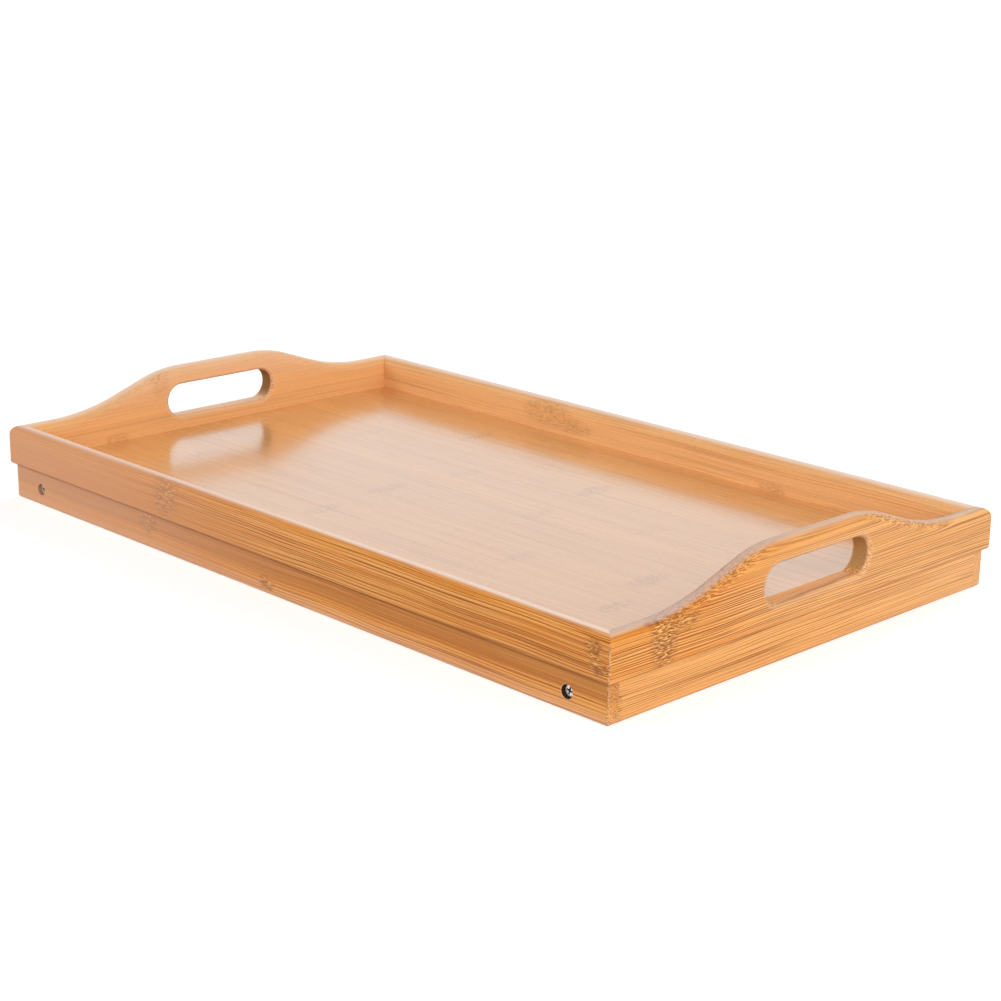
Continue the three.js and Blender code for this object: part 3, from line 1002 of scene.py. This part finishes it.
def grip_hole(bm, sizes, height):
    """The walls of a grip hole; returns its rim on each face."""
    radius = sizes.grip_height / 2
    centre_z = height - sizes.wood_above_grip - radius
    centre_x = sizes.grip_length / 2 - radius
    rings = []
    for depth, inset in arris_profile(BOARD_THICKNESS, sizes.arris, sizes.arris_steps):
        reach = radius + inset
        rings.append(ring_of(bm, [
            (side * (centre_x + reach * math.cos(t)), depth, centre_z + side * reach * math.sin(t))
            for side in (1, -1)
            for t in even(-QUARTER, QUARTER, GRIP_STEPS)
        ]))
    skin(bm, rings)
    return rings[0], rings[-1]


class BEDTRAY_OT_upper_frame(bpy.types.Operator):
    """Build the two rails and the two handle boards of the upper frame"""

    bl_idname = "bedtray.upper_frame"
    bl_label = "Upper Frame"

    def execute(self, context):
        sizes = context.scene.bed_tray.board
        look = context.scene.bed_tray.bamboo
        rough = look.board_roughness
        radius = sizes.grip_height / 2
        middle = BOARD_BOTTOM + HANDLE_HEIGHT - sizes.wood_above_grip - radius
        outside = high("right_handle_board").x / MM
        grip = (
            (sizes.grip_length / 2 - radius) / MM,
            middle / MM,
            radius / MM,
            outside - BOARD_THICKNESS / MM + WALL_MARGIN,
            outside - WALL_MARGIN,
        )
        woods = {
            "front": bamboo(
                look, "bamboo_front_rail", LIES_ALONG_X, FRONT_RAIL_MARKS, rough,
                contrast=1.0, warmth=0.65, top_coat=1.0, top_highlight=1.0, highlight_leans_inwards=True,
                underside_shade=0.9, comb_spacing=1.2, combed=0.6, painted_haze=(60, -180, 0.55, look.painted_haze, 0.75),
            ),
            "back": bamboo(
                look, "bamboo_back_rail", LIES_ALONG_X, BACK_RAIL_MARKS, rough,
                contrast=0.36, warmth=0.4, pale_tone_and_light=0.82, top_coat=1.0, top_highlight=0.9, combed=0.2,
            ),
            "right": bamboo(
                look, "bamboo_right_board", LIES_ALONG_Y, RIGHT_BOARD_MARKS, rough,
                contrast=1.0, warmth=0.53, top_coat=0.05, top_highlight=0.7, top_highlight_tint=look.right_top_highlight,
                combed=0.8, comb_spacing=1.05, painted_haze=(-100, 10, 0.25, look.pale_wood_and_light, -0.5), grip=grip,
            ),
            "left": bamboo(
                look, "bamboo_left_board", LIES_ALONG_Y, LEFT_BOARD_MARKS, rough,
                strip_start=34, strip_height=32, contrast=0.16, warmth=0.42, pale_tone_and_light=0.64,
                top_coat=1.0, top_highlight=0.55, pale_above=(36, 60, 0.3), grip=grip,
            ),
        }
        for side, node, half, _, place in four_boards("rail", "handle_board"):
            bm = frame_board(sizes, half, extent(node).z)
            bm.transform(place)
            put_wood(bm, woods[side], "tray", node)
        return {"FINISHED"}


class BEDTRAY_OT_panel(bpy.types.Operator):
    """Build the tray's floor panel"""

    bl_idname = "bedtray.panel"
    bl_label = "Panel"

    def execute(self, context):
        look = context.scene.bed_tray.bamboo
        size = extent("tray_panel")
        bm = plate(rectangle(size.x, size.y, PANEL_CORNER), size.z, PANEL_ARRIS)
        bm.transform(Matrix.Translation((0, 0, PANEL_BOTTOM)) @ Matrix.Rotation(QUARTER, 4, "X"))
        wood = bamboo(
            look, "bamboo_panel", PANEL_LIES, PANEL_MARKS, look.panel_roughness,
            strip_height=20, strip_start=3, cell=1.1, combed=0, contrast=0.3, warmth=0.4,
            pale_tone_and_light=0.34, pale_tone_and_light_tint=look.panel_pale, coat=1.0, top_coat=1.0, coat_ior=2.1,
        )
        put_wood(bm, wood, "tray", "tray_panel")
        return {"FINISHED"}


# Apron


def apron_rail(sizes, half, holes, shown_ends):
    """A rail of the apron; ends that show are rounded like its edges, the others are square."""
    bm = bmesh.new()
    arris = sizes.arris
    foot = sizes.foot_arris
    turns = even(0, QUARTER, CORNER_STEPS)
    lower = [(foot - foot * math.sin(t), foot - foot * math.cos(t)) for t in turns]
    upper = [(arris - arris * math.cos(t), APRON_HEIGHT - arris + arris * math.sin(t)) for t in turns]
    outer = lower + upper
    section = outer + [(APRON_THICKNESS - depth, height) for depth, height in reversed(outer)]
    # A square end has one full section, and a rounded one has several that are drawn in.
    distances = [foot - foot * math.cos(t) for t in turns] if shown_ends else [foot]

    def station(side, distance):
        """The section near an end, held inside the roundings of the end."""
        floor = inset_at(distance, foot)
        front = inset_at(distance, arris)
        end = side * (half - distance if shown_ends else half)
        return ring_of(bm, [
            (end, max(depth, front), min(max(height, floor), APRON_HEIGHT - front))
            for depth, height in section
        ])

    left = [station(-1, distance) for distance in distances]
    right = [station(1, distance) for distance in reversed(distances)]
    faces = (len(lower) - 1, len(section) - 1 - len(lower))
    skin(bm, left)
    skin(bm, right)
    skin(bm, [left[-1], right[0]], skipped=faces)
    for face, rims in zip(faces, bored(bm, APRON_THICKNESS, holes)):
        cover(bm, [left[-1][face], left[-1][face + 1], right[0][face + 1], right[0][face]], *rims)
    for ring in (left[0], right[-1]):
        bm.faces.new(distinct(ring))
    return bm


class BEDTRAY_OT_apron(bpy.types.Operator):
    """Build the four rails of the apron, with the sinks for the pivot screws"""

    bl_idname = "bedtray.apron"
    bl_label = "Apron"

    def execute(self, context):
        sizes = context.scene.bed_tray.apron
        look = context.scene.bed_tray.bamboo
        radius = sizes.counterbore_radius
        sink = [
            (radius + sizes.counterbore_rim, 0),
            (radius, sizes.counterbore_rim),
            (radius, sizes.counterbore_depth),
            (sizes.hole_radius, sizes.counterbore_depth),
            (sizes.hole_radius, APRON_THICKNESS),
        ]
        pivots = [(-PIVOT.x, PIVOT.z), (PIVOT.x, PIVOT.z)]
        rims = [(x / MM, z / MM, radius / MM) for x, z in pivots]
        recipes = {
            "front": dict(
                contrast=0.9, dark_above=10.5, pale_above=(9, 2, 0.22), raw_rims_and_shaded_sinks=rims,
                painted_haze=(60, -180, 0.6, look.painted_haze, 0.75), end_dark=0.02, end_pale=0.15,
            ),
            "right": dict(
                contrast=0.95, warmth=0.38, pale_tone_and_light=0.34, end_dark=0.02, comb_spacing=1.1,
                painted_haze=(-20, 140, 0.3, look.pale_wood_and_light, -0.6),
            ),
            "back": dict(warmth=0.4, pale_tone_and_light=0.2, raw_rims_and_shaded_sinks=rims, end_dark=0.02, end_pale=0.45),
            "left": dict(warmth=0.4, pale_tone_and_light=0.2, end_dark=0.02, end_pale=0.45),
        }
        marks = {"front": FRONT_APRON_MARKS, "right": RIGHT_APRON_MARKS}
        for side, node, half, long, place in four_boards("apron_rail", "apron_rail"):
            bm = apron_rail(sizes, half, [(*pivot, sink) for pivot in pivots] if long else [], long)
            bm.transform(place)
            wood = bamboo(
                look, f"bamboo_{side}_apron", LIES_ALONG_X if long else LIES_ALONG_Y,
                marks.get(side) or scattered_marks(side, 130, (2, 19), 3), look.board_roughness,
                **recipes[side],
            )
            put_wood(bm, wood, "tray", node)
        return {"FINISHED"}


# Leg frames

# In millimetres: how far the middle of a folded post lies from the middle of the tray
POST_MIDDLE = 125

BAR_ARRIS = 0.5 * MM


def post_corners(sizes):
    """Corners of a folded post in x and z, its pivot at the origin and its foot towards +x."""
    half = LEG_WIDTH / 2
    stop = PANEL_BOTTOM - PIVOT.z - sizes.stop_clearance
    end = (stop + half * math.cos(LEG_OPEN)) / math.sin(LEG_OPEN)
    reach = PIVOT.x - sizes.foot_gap / 2
    slant = half / math.tan(LEG_OPEN)
    return [
        (-end, -half, 0),
        (reach - slant, -half, sizes.foot_corner),
        (reach + slant, half, sizes.foot_corner),
        (-end, half, half),
    ]


class BEDTRAY_OT_leg_posts(bpy.types.Operator):
    """Build the four leg posts"""

    bl_idname = "bedtray.leg_posts"
    bl_label = "Leg Posts"

    def execute(self, context):
        sizes = context.scene.bed_tray.leg
        screw = context.scene.bed_tray.screw
        look = context.scene.bed_tray.bamboo
        pilot = screw.shank_radius + sizes.drive_clearance
        head = screw.bar_head_radius + sizes.drive_clearance
        shank = screw.bar_shank_radius + sizes.drive_clearance
        bar_x = PIVOT.x - (low("right_cross_bar").x + high("right_cross_bar").x) / 2
        holes = [
            (0, 0, [(pilot, 0), (pilot, sizes.pilot_depth)]),
            (bar_x, 0, [
                (head, 0),
                (head, BAR_SCREW_SINK),
                (shank, BAR_SCREW_SINK + head - shank),
                (shank, LEG_THICKNESS),
            ]),
        ]
        for node, body, side, facing in leg_pieces("leg_post"):
            bm = plate(post_corners(sizes), LEG_THICKNESS, sizes.arris, holes)
            bm.transform(Matrix.Translation((0, -LEG_OUTER_Y, 0)))
            bm.transform(Matrix.Diagonal((-side, facing, 1, 1)))
            bm.transform(Matrix.Translation((side * PIVOT.x, 0, PIVOT.z)))
            marks = [
                (side * POST_MIDDLE + along, *rest)
                for along, *rest in scattered_marks(node, 90, (4, 16), 2)
            ]
            wood = bamboo(look, f"bamboo_{node}", LIES_ALONG_X, marks, look.leg_roughness)
            put_wood(bm, wood, body, node)
        return {"FINISHED"}


class BEDTRAY_OT_cross_bars(bpy.types.Operator):
    """Build the cross bar of each leg frame"""

    bl_idname = "bedtray.cross_bars"
    bl_label = "Cross Bars"

    def execute(self, context):
        sizes = context.scene.bed_tray.leg
        look = context.scene.bed_tray.bamboo
        span = extent("right_cross_bar").y
        radius = context.scene.bed_tray.screw.bar_shank_radius + sizes.drive_clearance
        tip = BAR_SCREW_LENGTH + BAR_SCREW_SINK - (LEG_OUTER_Y - span / 2) + sizes.drive_clearance
        holes = [(0, 0, [(radius, start), (radius, start + tip)]) for start in (0, span - tip)]
        for name in ("left", "right"):
            node = f"{name}_cross_bar"
            middle = (low(node) + high(node)) / 2
            bm = plate(rectangle(BAR_WIDTH, BAR_THICKNESS, sizes.arris), span, BAR_ARRIS, holes)
            bm.transform(Matrix.Translation((middle.x, -span / 2, middle.z)))
            marks = [
                (along, middle.x / MM + up, *rest)
                for along, up, *rest in scattered_marks(node, 110, (-8, 8), 3)
            ]
            wood = bamboo(look, f"bamboo_{node}", BAR_LIES, marks, look.leg_roughness, warmth=0.55)
            put_wood(bm, wood, f"{name}_leg_frame", node)
        return {"FINISHED"}


# Screws and washers

# How wide a recess's arms are outside the head and at its floor, as shares of their width at the face
RECESS_FLARE = 1.25
RECESS_TAPER = 0.7

# The broken edge of a screw head, and the first station of the shank under it
HEAD_EDGE = 0.15 * MM
SHANK_START = 0.05 * MM

# How blunt a screw's tip is, how it narrows, and the places of its stations
TIP_RADIUS = 0.15 * MM
TIP_CURVE = 0.7
TIP_STATIONS = (0.2, 0.4, 0.6, 0.8, 0.93, 1.0)

# Faces round a pan head's edge and along one turn of a thread, and round a washer's two edges
CROWN_STEPS = 7
STEPS_IN_A_TURN = 8
WASHER_STEPS = 3
BORE_STEPS = 2

# How far a valley of the thread reaches, the plain part of a bar screw, and how the near screw is turned
VALLEY_SHARE = 2.2
PLAIN_SHARE = 0.35
NEAR_SCREW_TURN = math.radians(14)


def recess_cutter(sizes, face):
    """A cross recess that narrows to its floor, its mouth carried on past the head's face."""
    bm = bmesh.new()

    def cross(reach, arm, y):
        points = []
        for quarter in range(4):
            turn = Matrix.Rotation(quarter * QUARTER, 2)
            points += [turn @ Vector(p) for p in ((arm, arm), (reach, arm), (reach, -arm))]
        return flat_ring(bm, sorted(points, key=lambda p: math.atan2(p.y, p.x)), y)

    span = sizes.recess_span / 2
    floor = sizes.recess_floor / 2
    arm = sizes.recess_width / 2
    rings = [
        cross(2 * span - floor, arm * RECESS_FLARE, face - sizes.recess_depth),
        cross(span, arm, face),
        cross(floor, arm * RECESS_TAPER, face + sizes.recess_depth),
    ]
    skin(bm, rings)
    tip = bm.verts.new((0, face + sizes.recess_depth + arm, 0))
    for vertex, following in zip(rings[-1], rings[-1][1:] + rings[-1][:1]):
        bm.faces.new((vertex, following, tip))
    bm.faces.new(rings[0])
    return bm


def with_recess(mesh, cutter_mesh, name):
    """The mesh of a screw after its cross recess is cut; the recess keeps its own darker material,
    painted shade in the recess.
    """
    shaded_recess_steel = zinc(f"{name}_recess", linear("6E7A78"), linear("3A4442"), 0.5)
    for part in (mesh, cutter_mesh):
        part.materials.append(shaded_recess_steel)
    for face in cutter_mesh.polygons:
        face.material_index = 1
    screw = bpy.data.objects.new(name, mesh)
    cutter = bpy.data.objects.new(f"{name}_cutter", cutter_mesh)
    for item in (screw, cutter):
        bpy.context.scene.collection.objects.link(item)
    cut = screw.modifiers.new("Recess", "BOOLEAN")
    cut.object = cutter
    cut.operation = "DIFFERENCE"
    cut.solver = "EXACT"
    bpy.context.view_layer.update()
    result = bpy.data.meshes.new_from_object(screw.evaluated_get(bpy.context.evaluated_depsgraph_get()))
    for item in (screw, cutter):
        bpy.data.objects.remove(item)
    result.name = name
    shade(result)
    return result


def thread_cut(sizes, radius, start, end):
    """A function for the depth of the thread at a turn and a place along the shank."""
    deepest = sizes.thread_depth * radius / sizes.shank_radius

    def depth(turn, y):
        if not start < y < end:
            return 0
        phase = (y / sizes.thread_pitch - turn / math.tau) % 1
        valley = 1 - abs(2 * phase - 1)
        fade = min(1, (y - start) / sizes.thread_pitch, (end - y) / sizes.thread_pitch)
        return deepest * fade * (1 - max(0, 1 - VALLEY_SHARE * valley))

    return depth


def screw_mesh(sizes, threads, name, steel_name, head, radius, start, plain_end, end, face):
    """A screw: its head's profile, a shank from start to end that is plain at first, and a recess."""
    tip = sizes.tip_length
    count = max(2, round((end - tip - start) / (sizes.thread_pitch / STEPS_IN_A_TURN)))
    shank = [(radius, y) for y in even(start, end - tip, count)]
    shank += [
        (radius * (1 - part) ** TIP_CURVE + TIP_RADIUS * part, end - tip + tip * part)
        for part in TIP_STATIONS
    ]
    thread = thread_cut(sizes, radius, plain_end, end) if threads else None
    steel = zinc(steel_name, BRIGHT_ZINC, WORN_ZINC, 0.25, 0.7)
    body = to_mesh(turned(head + shank, thread), name, steel)
    return with_recess(body, to_mesh(recess_cutter(sizes, face), "recess", steel), f"{name}_screw")


def put_round(mesh, kind, suffix, seat):
    """Four copies of a turned part, facing out of the tray's long sides."""
    for node, body, _, facing in leg_pieces(kind):
        middle = (low(node) + high(node)) / 2
        place = Matrix.Translation((middle.x, -facing * seat, middle.z))
        outwards = Matrix.Rotation((1 - facing) * QUARTER, 4, "Z")
        spun = Matrix.Rotation(hand_turn(node), 4, "Y")
        put(f"{node}_{suffix}", mesh, body, node, place @ outwards @ spun)


def hand_turn(node):
    """How far a screw or a washer is turned, as a hand leaves it."""
    if node == "front_right_pivot_screw":
        return NEAR_SCREW_TURN
    return random.Random(node).uniform(0, QUARTER)


class BEDTRAY_OT_pivot_screws(bpy.types.Operator):
    """Build the four pan-head screws on which the leg frames turn"""

    bl_idname = "bedtray.pivot_screws"
    bl_label = "Pivot Screws"

    def execute(self, context):
        settings = context.scene.bed_tray
        sizes = settings.screw
        face = -sizes.head_height
        rounded = [
            (
                sizes.head_radius - sizes.head_crown * (1 - math.sin(t)),
                face + sizes.head_crown * (1 - math.cos(t)),
            )
            for t in even(0, QUARTER, CROWN_STEPS)
        ]
        flat = rounded[0][0]
        head = [
            (flat * 0.05, face),
            (flat * 0.5, face),
            *rounded,
            (sizes.head_radius, -HEAD_EDGE),
            (sizes.head_radius - HEAD_EDGE, 0),
            (sizes.shank_radius, 0),
        ]
        plain_end = APRON_THICKNESS / 2 + WASHER_THICKNESS
        mesh = screw_mesh(
            sizes, settings.with_threads, "pan_head", "zinc_steel", head, sizes.shank_radius,
            SHANK_START, plain_end, PIVOT_SCREW_LENGTH - sizes.head_height, face,
        )
        seat = high("back_right_pivot_screw").y - sizes.head_height
        put_round(mesh, "pivot_screw", "metal", seat)
        return {"FINISHED"}


class BEDTRAY_OT_bar_screws(bpy.types.Operator):
    """Build the four countersunk screws of the cross bars"""

    bl_idname = "bedtray.bar_screws"
    bl_label = "Cross Bar Screws"

    def execute(self, context):
        settings = context.scene.bed_tray
        sizes = settings.screw
        radius = sizes.bar_head_radius
        # The flat face has a broken edge and a short upright rim.
        head = [(0.1 * MM, 0), (radius - 0.12 * MM, 0), (radius, 0.1 * MM), (radius, 0.2 * MM)]
        mesh = screw_mesh(
            sizes, settings.with_threads, "countersunk", "zinc_steel_bar_screw", head,
            sizes.bar_shank_radius, radius - sizes.bar_shank_radius,
            BAR_SCREW_LENGTH * PLAIN_SHARE, BAR_SCREW_LENGTH, 0,
        )
        put_round(mesh, "bar_screw", "metal", high("back_right_bar_screw").y)
        return {"FINISHED"}


class BEDTRAY_OT_washers(bpy.types.Operator):
    """Build the four washers between the posts and the apron"""

    bl_idname = "bedtray.washers"
    bl_label = "Washers"

    def execute(self, context):
        sizes = context.scene.bed_tray.screw
        bore = sizes.shank_radius + context.scene.bed_tray.leg.drive_clearance
        arris = sizes.washer_arris
        outer = [
            (sizes.washer_radius - inset, depth)
            for depth, inset in arris_profile(WASHER_THICKNESS, arris, WASHER_STEPS)
        ]
        inner = [
            (bore + inset, depth)
            for depth, inset in arris_profile(WASHER_THICKNESS, arris / 2, BORE_STEPS)
        ]
        mesh = to_mesh(turned(outer + inner[::-1] + outer[:1]), "pivot_washer", nylon("washer_nylon"))
        put_round(mesh, "pivot_washer", "ring", high("back_right_pivot_washer").y)
        return {"FINISHED"}


# Studio

# In metres: the floor's radius, how far it lies under the tray, and between where it turns to plain white
FLOOR_RADIUS = 12
FLOOR_GAP = 0.02 * MM
WHITE_FROM = 0.6
WHITE_AT = 1.6

# The camera's sensor in millimetres, and the lamps' size and places in metres
SENSOR_WIDTH = 36
LAMP_SIZE = 1.2
LAMPS = {
    "right": (1.8, 0.1, 0.8),
    "near": (1.4, -1.4, 1.0),
    "left": (-1.4, -1.3, 1.0),
    "back": (-0.3, 1.8, 1.4),
}


def floor_material(studio):
    """A pale floor that keeps the tray's shadow, is plain white further away and clear from below."""
    s = new_shader("white_floor")
    from_middle = s.add("ShaderNodeTexCoord").out("Object").size()
    glow = studio.floor_glow + (1 - studio.floor_glow) * from_middle.ramp(WHITE_FROM, WHITE_AT)
    pale = s.add("ShaderNodeBsdfPrincipled", inputs={
        "Base Color": (*studio.floor, 1),
        "Roughness": 1.0,
        "Specular IOR Level": 0.0,
        "Emission Strength": 1.0,
        "Emission Color": s.seen() * glow,
    })
    clear = s.add("ShaderNodeBsdfTransparent")
    from_below = s.add("ShaderNodeNewGeometry").out("Backfacing")
    return s.finish(s.add("ShaderNodeMixShader", inputs={0: from_below, 1: pale, 2: clear}))


def white_world(studio):
    """Even white light from all round, which shows as plain white to the camera and in reflections."""
    s = Shader(bpy.data.worlds.new("white_studio"))
    strength = studio.sky + (1 - studio.sky) * s.seen()
    light = s.add("ShaderNodeBackground", inputs={"Color": (1, 1, 1, 1), "Strength": strength})
    return s.finish(light, "World")


def place_item(item, place, turned_to):
    """Puts a lamp or a camera in the scene, turned to what it looks at."""
    item.location = place
    item.rotation_mode = "QUATERNION"
    item.rotation_quaternion = turned_to
    bpy.context.scene.collection.objects.link(item)


def soft_lamp(name, place, watts):
    """A square lamp that shines on the tray and isn't mirrored in its lacquer."""
    lamp = bpy.data.lights.new(name, "AREA")
    lamp.shape = "SQUARE"
    lamp.size = LAMP_SIZE
    lamp.energy = watts
    item = bpy.data.objects.new(name, lamp)
    item.visible_glossy = False
    place_item(item, place, (-Vector(place)).to_track_quat("-Z", "Y"))


class BEDTRAY_OT_stage(bpy.types.Operator):
    """Set up the floor, the lamps and the camera"""

    bl_idname = "bedtray.stage"
    bl_label = "Stage"

    def execute(self, context):
        scene = context.scene
        studio = scene.bed_tray.studio
        bm = bmesh.new()
        bmesh.ops.create_circle(bm, cap_ends=True, segments=64, radius=FLOOR_RADIUS)
        mesh = bpy.data.meshes.new("floor")
        bm.to_mesh(mesh)
        bm.free()
        mesh.materials.append(floor_material(studio))
        floor = bpy.data.objects.new("floor", mesh)
        floor.location.z = CAD_BOX[0].z - FLOOR_GAP
        scene.collection.objects.link(floor)
        scene.world = white_world(studio)
        for name, place in LAMPS.items():
            soft_lamp(f"{name}_lamp", place, getattr(studio, f"{name}_power"))
        camera = bpy.data.objects.new("camera", bpy.data.cameras.new("camera"))
        camera.data.lens = studio.lens
        camera.data.sensor_width = SENSOR_WIDTH
        sight = (Vector(studio.aim) - Vector(studio.eye)).to_track_quat("-Z", "Y")
        place_item(camera, studio.eye, sight @ Quaternion((0, 0, 1), studio.roll))
        scene.camera = camera
        scene.view_settings.view_transform = "Standard"
        return {"FINISHED"}


class BEDTRAY_PT_build(bpy.types.Panel):
    """Sizes, colours and buttons of the bed tray"""

    bl_idname = "BEDTRAY_PT_build"
    bl_label = "Bed Tray"
    bl_space_type = "VIEW_3D"
    bl_region_type = "UI"
    bl_category = "Bed Tray"

    def draw(self, context):
        settings = context.scene.bed_tray
        for operator in OPERATORS:
            self.layout.operator(operator.bl_idname)
        for group in ("board", "apron", "leg", "screw", "bamboo", "studio"):
            box = self.layout.box()
            box.label(text=group.title())
            sizes = getattr(settings, group)
            for name in sizes.bl_rna.properties.keys():
                if name not in ("rna_type", "name"):
                    box.prop(sizes, name, text=name.replace("_", " ").title())


OPERATORS = (
    BEDTRAY_OT_upper_frame,
    BEDTRAY_OT_panel,
    BEDTRAY_OT_apron,
    BEDTRAY_OT_leg_posts,
    BEDTRAY_OT_cross_bars,
    BEDTRAY_OT_pivot_screws,
    BEDTRAY_OT_bar_screws,
    BEDTRAY_OT_washers,
    BEDTRAY_OT_stage,
)
CLASSES = (
    BoardSizes,
    ApronSizes,
    LegSizes,
    ScrewSizes,
    BambooLook,
    StudioSetup,
    BedTraySettings,
    *OPERATORS,
    BEDTRAY_PT_build,
)


def register():
    for item in CLASSES:
        bpy.utils.register_class(item)
    bpy.types.Scene.bed_tray = PointerProperty(type=BedTraySettings)


def unregister():
    del bpy.types.Scene.bed_tray
    for item in reversed(CLASSES):
        bpy.utils.unregister_class(item)


def main():
    register()
    for operator in OPERATORS:
        group, action = operator.bl_idname.split(".")
        getattr(getattr(bpy.ops, group), action)()


if __name__ == "__main__":
    main()
